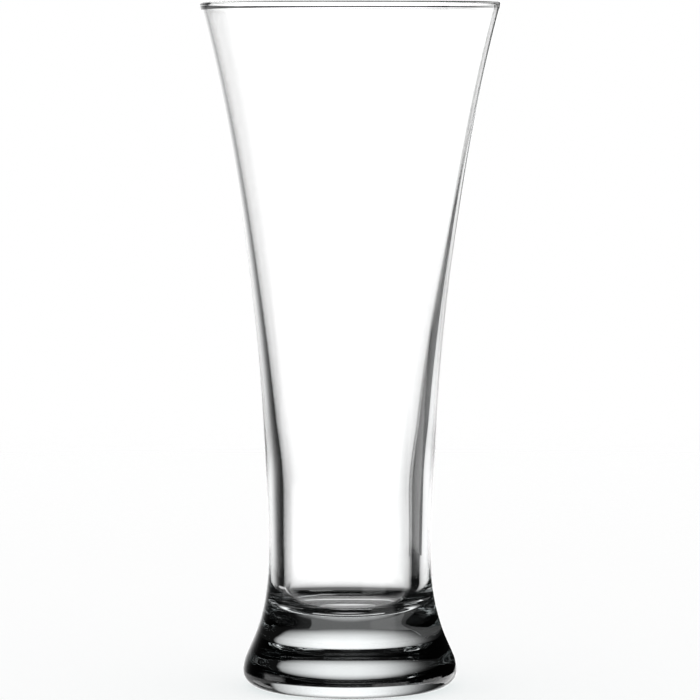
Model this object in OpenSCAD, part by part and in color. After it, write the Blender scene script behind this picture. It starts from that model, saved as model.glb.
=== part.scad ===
/* [Overall] */
// Height from the table to the top of the lip
height = 180; // [165:1:200]
// Outer diameter over the lip
rim_d = 78.6; // [74:0.2:84]
// Narrowest outer diameter, above the foot
waist_d = 42.6; // [41:0.2:45]
// Widest diameter of the foot
foot_d = 56.4; // [53:0.2:62]

/* [Side] */
// Height of the waist
waist_z = 38; // [36:0.2:41]
// Height of the knee, where the side starts to open out
knee_z = 71.5; // [66:0.5:78]
// Outer diameter at the knee
knee_d = 45.8; // [45.2:0.2:48]
// Outward lean of the side at the knee, in degrees
knee_lean = 2.8; // [2:0.2:4]
// Outward lean of the wall at the lip, in degrees
rim_lean = 14.4; // [11:0.2:18]

/* [Wall] */
// Wall thickness just under the lip
rim_wall = 0.95; // [0.8:0.05:1.2]
// Wall thickness at the knee
knee_wall = 3.8; // [3.2:0.1:4.4]
// Wall thickness at the waist
waist_wall = 4.4; // [4:0.1:5.2]
// Outward lean of the inner wall at the knee, in degrees
bore_lean = 5.8; // [4:0.2:7]
// Height up to which the inner wall stands straight
bore_z = 49; // [45:0.5:54]

/* [Lip] */
// Diameter of the round bead along the lip, which stands out on the inside
bead_d = 1.65; // [1.4:0.05:1.8]
// Radius of the hollow between the bead and the inner wall
neck_r = 0.4; // [0.2:0.1:0.6]
// Height of the fire-polished lip band
lip_band = 3; // [2.5:0.5:6]

/* [Base] */
// Glass under the lowest point of the inside
base_t = 18.5; // [17:0.1:20]
// Height over which the dished inner floor rises to the straight wall
floor_rise = 9.4; // [7:0.2:12]
// Height of the heel, where the foot turns under
heel_h = 4.5; // [4:0.1:5.5]
// Width of the heel
heel_w = 6; // [5:0.1:7]
// Width of the ring the glass stands on
ring_w = 0.8; // [0.6:0.1:2]
// Width of the slope from that ring into the shallow recess
recess_slope = 1.5; // [0.5:0.1:3]
// Depth of the recess
recess_h = 0.2; // [0.2:0.1:1]

/* [Hidden] */
$fn = 128;

foot_r = foot_d / 2;
waist_r = waist_d / 2;
knee_r = knee_d / 2;
rim_r = rim_d / 2;
bead_r = bead_d / 2;
bore_r = waist_r - waist_wall;

// Steps along each curve of the outline
flare_steps = 18;
side_steps = 16;
bend_steps = 8;
turn_steps = 12;
bead_steps = 16;

// How far each curve keeps its end direction, as a share of its height or width
ring_hold = 0.44;
heel_hold = 0.69;
foot_hold = 0.2;
waist_hold = 0.73;
lower_hold = 0.2;
under_knee_hold = 0.2;
over_knee_hold = 0.2;
under_lip_hold = 0.37;
inner_hold = 0.28;
bore_hold = 0.36;
corner_hold = 0.82;
floor_hold = 0.83;

// The foot is joined to the bowl half-way along the flare
seam_at = 0.5;

function bezier(p, t) =
    pow(1 - t, 3) * p[0] + 3 * pow(1 - t, 2) * t * p[1] + 3 * (1 - t) * t * t * p[2] + pow(t, 3) * p[3];
function curve(p, n, from = 0, to = 1) = [for (i = [0:n]) bezier(p, from + (to - from) * i / n)];
function turn(centre, r, from, to, n) =
    [for (i = [0:n]) centre + r * [cos(from + (to - from) * i / n), sin(from + (to - from) * i / n)]];
// A run of points without its first one, which the run before it already has
function after(points) = [for (i = [1:len(points) - 1]) points[i]];
// A step of the given height along a wall that leans outward
function leaning(lean, rise) = rise * [tan(lean), 1];

// Lip: a bead flush with the outside of the leaning wall, its top at the full height
across = [cos(rim_lean), -sin(rim_lean)];
along = [sin(rim_lean), cos(rim_lean)];
lip_c = [rim_r - bead_r, height - bead_r];
lip_out = lip_c + bead_r * across;
// Hollow that leads from the bead into the inner face of the wall
neck_in = rim_wall - bead_r + neck_r;
neck_down = sqrt(pow(bead_r + neck_r, 2) - pow(neck_in, 2));
neck_c = lip_c - neck_in * across - neck_down * along;
neck_turn = atan2(neck_down, neck_in);
lip_in = neck_c + neck_r * across;
band_z = height - lip_band;
band_out = lip_out - leaning(rim_lean, lip_out[1] - band_z);
band_in = lip_in - leaning(rim_lean, lip_in[1] - band_z);

// Outer side, from the standing ring up
ring_out = foot_r - heel_w;
heel = [
    [ring_out, 0],
    [ring_out + ring_hold * heel_w, 0],
    [foot_r, heel_h - heel_hold * heel_h],
    [foot_r, heel_h]
];
waist = [waist_r, waist_z];
knee = [knee_r, knee_z];
flare_h = waist_z - heel_h;
flare = [
    [foot_r, heel_h],
    [foot_r, heel_h + foot_hold * flare_h],
    [waist_r, waist_z - waist_hold * flare_h],
    waist
];
lower_h = knee_z - waist_z;
lower_side = [
    waist,
    waist + [0, lower_hold * lower_h],
    knee - leaning(knee_lean, under_knee_hold * lower_h),
    knee
];
upper_h = band_z - knee_z;
upper_side = [
    knee,
    knee + leaning(knee_lean, over_knee_hold * upper_h),
    band_out - leaning(rim_lean, under_lip_hold * upper_h),
    band_out
];

// Inner side, from the lip down
knee_in = [knee_r - knee_wall, knee_z];
bore = [bore_r, bore_z];
upper_inside = [
    band_in,
    band_in - leaning(rim_lean, inner_hold * upper_h),
    knee_in + leaning(bore_lean, inner_hold * upper_h),
    knee_in
];
bore_h = knee_z - bore_z;
lower_inside = [
    knee_in,
    knee_in - leaning(bore_lean, bore_hold * bore_h),
    bore + [0, bore_hold * bore_h],
    bore
];

// Inner floor: a dish, nearly flat in the middle, that turns up into the straight wall
dish = [
    [bore_r, base_t + floor_rise],
    [bore_r, base_t + floor_rise - corner_hold * floor_rise],
    [floor_hold * bore_r, base_t],
    [0, base_t]
];

seam = bezier(flare, seam_at);
ring_in = ring_out - ring_w;

// Solid flared base that the glass stands on
module foot() {
    color([0.62, 0.74, 0.74])
        rotate_extrude()
            polygon(concat(
                [[0, recess_h], [ring_in - recess_slope, recess_h], [ring_in, 0]],
                curve(heel, turn_steps),
                after(curve(flare, flare_steps / 2, 0, seam_at)),
                [[0, seam[1]]]
            ));
}

// Vessel with a dished floor, from the flare to the lip band
module bowl() {
    color([0.78, 0.87, 0.88])
        rotate_extrude()
            polygon(concat(
                [[0, seam[1]]],
                curve(flare, flare_steps / 2, seam_at, 1),
                after(curve(lower_side, bend_steps)),
                after(curve(upper_side, side_steps)),
                curve(upper_inside, side_steps),
                after(curve(lower_inside, bend_steps)),
                curve(dish, flare_steps)
            ));
}

// Fire-polished lip band with its bead
module rim() {
    color([0.90, 0.95, 0.95])
        rotate_extrude()
            polygon(concat(
                [band_in, band_out],
                turn(lip_c, bead_r, -rim_lean, 180 + neck_turn - rim_lean, bead_steps),
                after(turn(neck_c, neck_r, neck_turn - rim_lean, -rim_lean, bend_steps))
            ));
}

foot();
bowl();
rim();
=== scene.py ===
import math

import bmesh
import bpy
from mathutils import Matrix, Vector


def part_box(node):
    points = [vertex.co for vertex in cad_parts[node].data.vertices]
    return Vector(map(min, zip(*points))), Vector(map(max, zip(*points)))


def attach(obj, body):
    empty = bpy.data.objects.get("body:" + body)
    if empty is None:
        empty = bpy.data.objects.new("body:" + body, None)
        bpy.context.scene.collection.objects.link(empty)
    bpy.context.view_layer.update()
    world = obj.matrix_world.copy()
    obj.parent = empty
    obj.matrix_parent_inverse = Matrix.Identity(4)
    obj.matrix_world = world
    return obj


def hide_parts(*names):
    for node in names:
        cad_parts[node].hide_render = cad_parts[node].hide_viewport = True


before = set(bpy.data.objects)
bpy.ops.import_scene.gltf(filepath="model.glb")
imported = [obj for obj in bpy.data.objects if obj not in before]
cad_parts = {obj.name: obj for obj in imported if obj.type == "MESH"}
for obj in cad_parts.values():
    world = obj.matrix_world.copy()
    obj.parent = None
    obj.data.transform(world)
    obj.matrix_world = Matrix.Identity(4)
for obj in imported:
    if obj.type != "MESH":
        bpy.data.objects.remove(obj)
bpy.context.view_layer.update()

TINY = 1e-6             # metres that count as nothing
DECIMALS = 7            # kept of each place on the CAD outline, in metres

# Mesh of the glass
TURNS = 256             # flat faces round the axis
FINER = 4               # steps along each CAD face of the outline
SHARP = 30.0            # degrees of turn that count as a corner
STRAIGHT = 0.05         # degrees of turn that count as none
LONG_WALL = 4.0         # a face this much longer than the next one is a straight wall
SEAM_GAP = 0.000005     # metres by which each fused face stands back from its seam
AT_SEAM = 2 * SEAM_GAP  # a point nearer than this to a seam is on it
FUSED = "fused"         # mesh attribute that marks the fused faces

# How far the bore stands off the axis towards +X below and above a bend, in metres
BORE_LOW = -0.0004
BORE_HIGH = 0.00043
BORE_BEND = (0.075, 0.160)

# Optics of the glass
CLEAR = (1.0, 1.0, 1.0, 1.0)
GLASS_IOR = 1.52
GLASS_DEPTH = 5.5                       # how strongly a metre of glass dims the light
GLASS_TINT = (0.0, 0.10, 0.11, 1.0)     # the cool colour that thick glass keeps
SHADOW_TINT = (0.93, 0.95, 0.95, 1.0)   # the light that each surface lets through to the floor

# Waviness of the glass: waves to a metre, their finer detail, and their height in metres
WAVE_SCALE = 60.0
WAVE_DETAIL = 1.0
WAVE_HEIGHT = 0.000004

# Camera: image width and focal length in pixels, sensor width in millimetres, places in metres
IMAGE = 700
FOCAL_PX = 4503.0
SENSOR = 36.0
CAMERA_AT = Vector((0.0, -1.178, 0.1718))
CAMERA_TO = Vector((0.0, 0.0, 0.0889))

# Floor, in metres
FLOOR_R = 0.9
FLOOR_SIDES = 128
FLOOR_GAP = 0.00002
FLOOR_FADE_FROM = 0.2
FLOOR_COLOUR = (0.985, 0.985, 0.985, 1.0)
CONTACT_SHADE_FROM = 0.012    # painted contact shade: the dark ring under the foot, which only the glass shows
CONTACT_SHADE_TO = 0.0226
CONTACT_SHADE_COLOUR = (0.012, 0.012, 0.012, 1.0)

# Painted shade: dark stand-ins for the unlit room beside the glass and the shaded table under it
# Cards that only the glass shows: grey, two ends on the floor plan, lowest and highest point, in metres
CARDS = {
    "shade_card_right": (0.07, (0.0545, 0.06), (0.4, 0.06), 0.024, 0.25),
    "shade_card_low": (0.09, (-0.052, 0.1035), (-0.109, 0.053), -0.09, -0.003),
}
CARD_EDGE = 0.025       # metres over which a card's top fades out

# Studio, in degrees: bearings are from +Y towards +X, heights are above the horizon
WHITE_LEVEL = 1.0
ROOM_LEVEL = 0.006
PANEL_LEVEL = 1.45
PANEL_ACROSS = (
    (-60, 0.0), (-48, 0.006), (-43, 0.015), (-38, 0.045), (-34, 0.10), (-30, 0.21), (-26, 0.35),
    (-22, 0.50), (-18, 0.65), (-14, 0.79), (-9, 0.91), (-3, 1.0), (8, 1.0), (13, 0.94), (18, 0.84),
    (22, 0.745), (27, 0.62), (33, 0.42), (37, 0.0),
)
PANEL_UP = (
    (-90, 0.06), (-60, 0.02), (-36, 0.02), (-33, 0.15), (-32, 0.26), (-29, 0.46), (-25, 0.68), (-21, 0.83),
    (-17, 0.94), (-13, 1.0), (12, 1.0), (18, 0.92), (23, 0.80), (29, 0.55), (36, 0.33), (45, 0.08),
    (60, 0.02), (90, 0.005),
)
# Further panels for some other views, the pale table steeply under the glass, and the dim table in front of
# the first panel: level, bearing and height from and to, softness
MORE_PANELS = (
    (1.0, -60, -37, -42, -20, 2),
    (1.0, 115, 155, -25, -7, 4),
    (0.5, 118, 152, 8, 24, 4),
    (0.3, 115, 155, -67, -28, 6),
    (1.0, -104, -76, -13, 2, 4),
    (0.55, -100, 100, -90, -67, 4),
    (0.2, -200, 200, -90, -67, 4),
    (0.12, -43, 22.5, -46, -33.3, 0.8),
)
# Pale table at both sides that the leaning outer wall mirrors, in the same way. Its far edge slants:
# heights here are what they are straight ahead, and are lower by this share of the bearing to either side
TABLE_SLANT = 0.08
TABLE_SIDES = (
    (0.45, -88, -24, -22, -5, 2),
    (1.5, 27, 66, -24, -4.9, 0.25),
    (1.2, 64, 95, -22, -0.6, 2),
)
# Where that wall mirrors the dark room beside the first panel, in the same way
UNLIT_SIDES = (
    (1.0, 31, 70, -40, 40, 1.5),
    (1.0, 12, 32, -3.25, 40, 0.25),
)
BOUNCES = 16


def turn_angle(a, b, c):
    """Degrees by which the outline turns at b on its way from a to c."""
    first, second = b - a, c - b
    cross = first.x * second.y - first.y * second.x
    return math.degrees(math.atan2(cross, first.dot(second)))


def side_links(mesh):
    """The (radius, height) points where a solid crosses +X, each with those that its edges lead to."""
    side = {
        v.index: (round(v.co.x, DECIMALS), round(v.co.z, DECIMALS))
        for v in mesh.vertices
        if abs(v.co.y) < TINY and v.co.x > -TINY
    }
    links = {point: set() for point in side.values()}
    for edge in mesh.edges:
        a, b = (side.get(i) for i in edge.vertices)
        if a and b and a != b:
            links[a].add(b)
            links[b].add(a)
    return links


def join_ends(links):
    """Adds the flat faces, which have no edge there: they join ends of one height, or run to the axis."""
    ends = sorted(p for p in links if len(links[p]) == 1 and p[0] > TINY)
    while ends:
        end = ends.pop()
        mate = next((p for p in ends if abs(p[1] - end[1]) < TINY), None)
        if mate:
            ends.remove(mate)
        else:
            mate = (0.0, end[1])
            links.setdefault(mate, set())
        links[end].add(mate)
        links[mate].add(end)


def half_section(node):
    """The node's half outline, as (radius, height) points in order."""
    links = side_links(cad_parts[node].data)
    join_ends(links)
    here = min(links, key=lambda p: (len(links[p]) > 1, p[1], p[0]))
    walk = []
    while here:
        walk.append(here)
        here = next((p for p in sorted(links[here]) if p not in walk), None)
    return [Vector(p) for p in walk]


def without_midpoints(points):
    """Leaves out the points that lie on a straight stretch."""
    kept = points[:1]
    for here, after in zip(points[1:], points[2:]):
        if abs(turn_angle(kept[-1], here, after)) > STRAIGHT:
            kept.append(here)
    return kept + points[-1:]


def bend_way(points, i):
    """The outline's direction at its point i, or nothing at a corner or an end that isn't on the axis."""
    ends = (0, len(points) - 1)
    if i in ends:
        return Vector((1.0 if i == 0 else -1.0, 0.0)) if points[i].x < TINY else None
    before, after = points[i] - points[i - 1], points[i + 1] - points[i]
    if abs(turn_angle(*points[i - 1:i + 2])) > SHARP:
        return None
    if before.length > LONG_WALL * after.length:
        return before.normalized()
    if after.length > LONG_WALL * before.length:
        return after.normalized()
    return (before.normalized() * after.length + after.normalized() * before.length).normalized()


def face_ways(points):
    """Each face's direction at both of its ends. At a corner it goes on along the face's own arc."""
    ways = [bend_way(points, i) for i in range(len(points))]
    faces = []
    for a, b, start, end in zip(points, points[1:], ways, ways[1:]):
        chord = (b - a).normalized()
        known = start or end or chord
        mirrored = chord * (2 * chord.dot(known)) - known
        faces.append((start or mirrored, end or mirrored))
    return faces


def smooth_outline(points):
    """The outline with finer steps, on smooth curves between its corners."""
    points = without_midpoints(points)
    fine = []
    for a, b, ways in zip(points, points[1:], face_ways(points)):
        start, end = (way * (b - a).length for way in ways)
        for step in range(FINER):
            t = step / FINER
            fine.append(
                a * (2 * t**3 - 3 * t**2 + 1)
                + start * (t**3 - 2 * t**2 + t)
                + b * (3 * t**2 - 2 * t**3)
                + end * (t**3 - t**2)
            )
    return fine + [points[-1]]


def stand_back(outline, seams):
    """Draws the outline's ends at the seams back a little, so that no two pieces share a face."""
    middle = sum(p.y for p in outline) / len(outline)
    for p in outline:
        for seam in seams:
            if abs(p.y - seam) < TINY:
                p.y += math.copysign(SEAM_GAP, middle - seam)


def bore_drift(height):
    """How far the bore stands off the axis at a height, since blown glass is never quite even."""
    start, end = BORE_BEND
    t = min(max((height - start) / (end - start), 0.0), 1.0)
    return BORE_LOW + (BORE_HIGH - BORE_LOW) * t * t * (3 - 2 * t)


def bore_shares(outline, seam):
    """For each point of an outline that reaches the upper seam: 1 on the bore and 0 on the outside.

    An outline from the axis has its outside before the seam and its bore after it. Otherwise, and on the
    seam itself, the share grows across the leaning wall.
    """
    on_seam = [i for i, p in enumerate(outline) if abs(p.y - seam) < AT_SEAM]
    first, last = outline[on_seam[0]], outline[on_seam[-1]]
    inner, outer = sorted((first.x, last.x))
    from_axis = outline[0].x < TINY
    lean = Vector((0.0, 1.0)) if from_axis else outline[1] - outline[0]
    shares = []
    for i, p in enumerate(outline):
        across = p.x - (p.y - first.y) * lean.x / lean.y
        share = min(max((outer - across) / (outer - inner), 0.0), 1.0)
        if from_axis and i not in on_seam:
            share = 1.0 if i > on_seam[-1] else 0.0
        shares.append(share)
    return shares


def add_object(name, data):
    """A new object in the scene."""
    thing = bpy.data.objects.new(name, data)
    bpy.context.scene.collection.objects.link(thing)
    return thing


def add_ring(shape, p, drift):
    """A ring of vertices through an outline's point. On the axis it is one vertex, over and over."""
    if p.x < TINY:
        return [shape.verts.new((drift, 0.0, p.y))] * TURNS
    angles = [math.tau * k / TURNS for k in range(TURNS)]
    return [shape.verts.new((p.x * math.cos(a) + drift, p.x * math.sin(a), p.y)) for a in angles]


def lies_at_seam(face, seams):
    """Whether the whole face lies at one of the seams."""
    return any(max(abs(v.co.z - seam) for v in face.verts) < AT_SEAM for seam in seams)


def lathe(name, outline, drifts, seams):
    """A closed mesh turned from the outline, each ring drifted along X. Faces at the seams are marked."""
    shape = bmesh.new()
    fused = shape.faces.layers.float.new(FUSED)
    rings = [add_ring(shape, p, drift) for p, drift in zip(outline, drifts)]
    pairs = list(zip(rings, rings[1:]))
    if outline[0].x > TINY:
        pairs.append((rings[-1], rings[0]))
    for low, high in pairs:
        for k in range(TURNS):
            after = (k + 1) % TURNS
            corners = (low[k], low[after], high[after], high[k])
            face = shape.faces.new(dict.fromkeys(corners))
            face.smooth = True
            face[fused] = 1.0 if lies_at_seam(face, seams) else 0.0
    bmesh.ops.recalc_face_normals(shape, faces=shape.faces)
    for edge in shape.edges:
        edge.smooth = edge.calc_face_angle(0.0) < math.radians(SHARP)
    mesh = bpy.data.meshes.new(name)
    shape.to_mesh(mesh)
    shape.free()
    return add_object(name, mesh)


def glass_piece(node, glass):
    """The node as a smooth turned piece of glass. What reaches the upper seam has the bore's drift."""
    low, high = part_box("bowl")
    seams = (low.z, high.z)
    outline = smooth_outline(half_section(node))
    stand_back(outline, seams)
    drifts = [0.0] * len(outline)
    if max(p.y for p in outline) > high.z - AT_SEAM:
        drifts = [bore_drift(p.y) * share for p, share in zip(outline, bore_shares(outline, high.z))]
    piece = lathe("glass_" + node, outline, drifts, seams)
    piece.data.materials.append(glass)
    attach(piece, "root")
    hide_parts(node)


class Graph:
    """Short ways to add and link shader nodes in one node tree."""

    def __init__(self, owner):
        owner.use_nodes = True
        self.tree = owner.node_tree
        self.tree.nodes.clear()

    def add(self, kind, settings=None, **links):
        """A node with its settings, and its inputs set or linked by name. Underscores stand for spaces."""
        node = self.tree.nodes.new(kind)
        for key, value in (settings or {}).items():
            setattr(node, key, value)
        for key, value in links.items():
            self.put(node.inputs[key.replace("_", " ")], value)
        return node

    def put(self, socket, value):
        """Links a socket to another, or sets it."""
        if isinstance(value, bpy.types.NodeSocket):
            self.tree.links.new(value, socket)
        else:
            socket.default_value = value

    def math(self, operation, *values):
        """The result of a Math node."""
        node = self.tree.nodes.new("ShaderNodeMath")
        node.operation = operation
        for socket, value in zip(node.inputs, values):
            self.put(socket, value)
        return node.outputs[0]

    def ramp(self, value, stops):
        """The level between (place, level) stops along a value."""
        first, last = stops[0][0], stops[-1][0]
        span = self.add("ShaderNodeMapRange", Value=value, From_Min=first, From_Max=last)
        node = self.add("ShaderNodeValToRGB", Fac=span.outputs["Result"])
        elements = node.color_ramp.elements
        while len(elements) < len(stops):
            elements.new(1.0)
        for element, (place, level) in zip(elements, stops):
            element.position = (place - first) / (last - first)
            element.color = (level, level, level, 1.0)
        return node.outputs["Color"]

    def smooth(self, value, start, end):
        """0 at start and 1 at end, with a smooth step between them."""
        node = self.add("ShaderNodeMapRange", {"interpolation_type": "SMOOTHSTEP"}, Value=value,
                        From_Min=start, From_Max=end)
        return node.outputs["Result"]

    def window(self, value, low, high, soft):
        """1 between low and high, with soft edges, and 0 elsewhere."""
        rise = self.smooth(value, low - soft, low + soft)
        fall = self.smooth(value, high + soft, high - soft)
        return self.math("MULTIPLY", rise, fall)

    def patch(self, bearing, height, level, left, right, low, high, soft):
        """The level inside a soft-edged patch of the studio, and 0 elsewhere."""
        across = self.math("MULTIPLY", self.window(bearing, left, right, soft), level)
        return self.math("MULTIPLY", across, self.window(height, low, high, soft))

    def seen_by_glass(self, path):
        """1 in what the glass bends or mirrors, and 0 elsewhere."""
        return self.math("MAXIMUM", path.outputs["Is Transmission Ray"], path.outputs["Is Glossy Ray"])

    def mix_shader(self, factor, first, second):
        """The first shader where factor is 0 and the second where it is 1."""
        node = self.add("ShaderNodeMixShader", Fac=factor)
        self.tree.links.new(first, node.inputs[1])
        self.tree.links.new(second, node.inputs[2])
        return node.outputs[0]


def clear_glass():
    """Clear glass, very slightly wavy as pressed and blown glass is.

    To the floor's light it is a clear film. Nothing shows at the fused faces, where one piece goes on
    into the next.
    """
    material = bpy.data.materials.new("clear_glass")
    g = Graph(material)
    spot = g.add("ShaderNodeTexCoord").outputs["Object"]
    waves = g.add("ShaderNodeTexNoise", Vector=spot, Scale=WAVE_SCALE, Detail=WAVE_DETAIL)
    bump = g.add("ShaderNodeBump", Height=waves.outputs["Fac"], Strength=1.0, Distance=WAVE_HEIGHT)
    glass = g.add("ShaderNodeBsdfPrincipled", Base_Color=CLEAR, Roughness=0.0, IOR=GLASS_IOR,
                  Transmission_Weight=1.0, Normal=bump.outputs["Normal"])
    film = g.add("ShaderNodeBsdfTransparent", Color=SHADOW_TINT)
    path = g.add("ShaderNodeLightPath")
    to_film = g.math("MAXIMUM", path.outputs["Is Shadow Ray"], path.outputs["Is Diffuse Ray"])
    skin = g.mix_shader(to_film, glass.outputs[0], film.outputs[0])
    fused = g.add("ShaderNodeAttribute", {"attribute_name": FUSED})
    inside = g.add("ShaderNodeBsdfTransparent")
    shader = g.mix_shader(fused.outputs["Fac"], skin, inside.outputs[0])
    depth = g.add("ShaderNodeVolumeAbsorption", Color=GLASS_TINT, Density=GLASS_DEPTH)
    g.add("ShaderNodeOutputMaterial", Surface=shader, Volume=depth.outputs[0])
    return material


def pale_floor():
    """Pale, and clear far from the glass. The glass looks past it, and shows only the painted contact
    shade, a dark ring under the foot.
    """
    material = bpy.data.materials.new("pale_floor")
    g = Graph(material)
    spot = g.add("ShaderNodeTexCoord").outputs["Object"]
    far = g.add("ShaderNodeVectorMath", {"operation": "LENGTH"}, Vector=spot).outputs["Value"]
    in_glass = g.seen_by_glass(g.add("ShaderNodeLightPath"))
    hidden = g.math("MAXIMUM", g.smooth(far, FLOOR_FADE_FROM, FLOOR_R), in_glass)
    pale = g.add("ShaderNodeBsdfDiffuse", Color=FLOOR_COLOUR)
    clear = g.add("ShaderNodeBsdfTransparent")
    surface = g.mix_shader(hidden, pale.outputs[0], clear.outputs[0])
    # Painted contact shade: a dark ring under the foot that only the glass bends and mirrors
    beyond = g.math("GREATER_THAN", far, CONTACT_SHADE_FROM)
    within = g.math("LESS_THAN", far, CONTACT_SHADE_TO)
    contact = g.math("MULTIPLY", g.math("MULTIPLY", beyond, within), in_glass)
    dark = g.add("ShaderNodeBsdfDiffuse", Color=CONTACT_SHADE_COLOUR)
    g.add("ShaderNodeOutputMaterial", Surface=g.mix_shader(contact, surface, dark.outputs[0]))
    return material


def make_floor():
    """A round floor just under the glass."""
    shape = bmesh.new()
    bmesh.ops.create_circle(shape, cap_ends=True, segments=FLOOR_SIDES, radius=FLOOR_R)
    mesh = bpy.data.meshes.new("floor")
    shape.to_mesh(mesh)
    shape.free()
    mesh.materials.append(pale_floor())
    floor = add_object("floor", mesh)
    floor.location.z = -FLOOR_GAP


def card_grey(name, grey, top):
    """Dull grey, painted shade, that fades out towards the top of a card."""
    material = bpy.data.materials.new(name)
    g = Graph(material)
    spot = g.add("ShaderNodeSeparateXYZ", Vector=g.add("ShaderNodeTexCoord").outputs["Object"])
    fade = g.smooth(spot.outputs["Z"], top - CARD_EDGE, top)
    dull = g.add("ShaderNodeBsdfDiffuse", Color=(grey, grey, grey, 1.0))
    clear = g.add("ShaderNodeBsdfTransparent")
    g.add("ShaderNodeOutputMaterial", Surface=g.mix_shader(fade, dull.outputs[0], clear.outputs[0]))
    return material


def make_card(name, grey, start, end, low, high):
    """An upright dark card of the studio, painted shade that only the glass shows."""
    corners = [(*start, low), (*end, low), (*end, high), (*start, high)]
    mesh = bpy.data.meshes.new(name)
    mesh.from_pydata(corners, [], [(0, 1, 2, 3)])
    mesh.materials.append(card_grey(name, grey, high))
    card = add_object(name, mesh)
    card.visible_camera = False
    card.visible_diffuse = False
    card.visible_glossy = False
    card.visible_shadow = False


def panel_light(g, bearing, height):
    """The light of the panels and of the table in each direction."""
    panel = g.math("MULTIPLY", g.ramp(bearing, PANEL_ACROSS), g.ramp(height, PANEL_UP))
    for sides in MORE_PANELS:
        panel = g.math("MAXIMUM", panel, g.patch(bearing, height, *sides))
    return panel


def mirrored_light(g, panel, bearing, height, path):
    """That light, changed at both sides in what the glass mirrors and doesn't bend."""
    mirrored = g.math("SUBTRACT", path.outputs["Is Glossy Ray"], path.outputs["Is Transmission Ray"])
    slanted = g.math("MULTIPLY_ADD", g.math("ABSOLUTE", bearing), TABLE_SLANT, height)
    for sides in UNLIT_SIDES:
        unlit = g.math("MULTIPLY", g.patch(bearing, slanted, *sides), mirrored)
        panel = g.math("MULTIPLY", panel, g.math("SUBTRACT", 1.0, unlit))
    for sides in TABLE_SIDES:
        table = g.math("MULTIPLY", g.patch(bearing, slanted, *sides), mirrored)
        panel = g.math("MAXIMUM", panel, table)
    return panel


def make_studio():
    """White round the glass, and the soft panels of a dark studio in what the glass bends and mirrors."""
    world = bpy.data.worlds.new("studio")
    bpy.context.scene.world = world
    g = Graph(world)
    way = g.add("ShaderNodeSeparateXYZ", Vector=g.add("ShaderNodeTexCoord").outputs["Generated"])
    x, y, z = way.outputs
    bearing = g.math("DEGREES", g.math("ARCTAN2", x, y))
    height = g.math("DEGREES", g.math("ARCSINE", z))
    path = g.add("ShaderNodeLightPath")
    panel = mirrored_light(g, panel_light(g, bearing, height), bearing, height, path)
    level = g.math("MULTIPLY_ADD", panel, PANEL_LEVEL, ROOM_LEVEL)
    tone = g.add("ShaderNodeMix", {"data_type": "FLOAT"})
    g.put(tone.inputs[0], g.seen_by_glass(path))
    g.put(tone.inputs[2], WHITE_LEVEL)
    g.put(tone.inputs[3], level)
    light = g.add("ShaderNodeBackground", Color=tone.outputs[0])
    g.add("ShaderNodeOutputWorld", Surface=light.outputs[0])


def make_camera():
    """The camera at the photograph's place."""
    camera = add_object("camera", bpy.data.cameras.new("camera"))
    camera.data.sensor_width = SENSOR
    camera.data.lens = SENSOR * FOCAL_PX / IMAGE
    camera.location = CAMERA_AT
    camera.rotation_euler = (CAMERA_TO - CAMERA_AT).to_track_quat("-Z", "Y").to_euler()
    bpy.context.scene.camera = camera


def set_up_scene():
    """Plain colours, and enough bounces for light that runs round inside thick glass."""
    scene = bpy.context.scene
    scene.view_settings.view_transform = "Standard"
    scene.cycles.max_bounces = BOUNCES
    scene.cycles.glossy_bounces = BOUNCES
    scene.cycles.transmission_bounces = BOUNCES
    scene.cycles.transparent_max_bounces = BOUNCES


set_up_scene()
make_camera()
make_studio()
make_floor()
for name, sizes in CARDS.items():
    make_card(name, *sizes)
glass = clear_glass()
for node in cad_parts:
    glass_piece(node, glass)
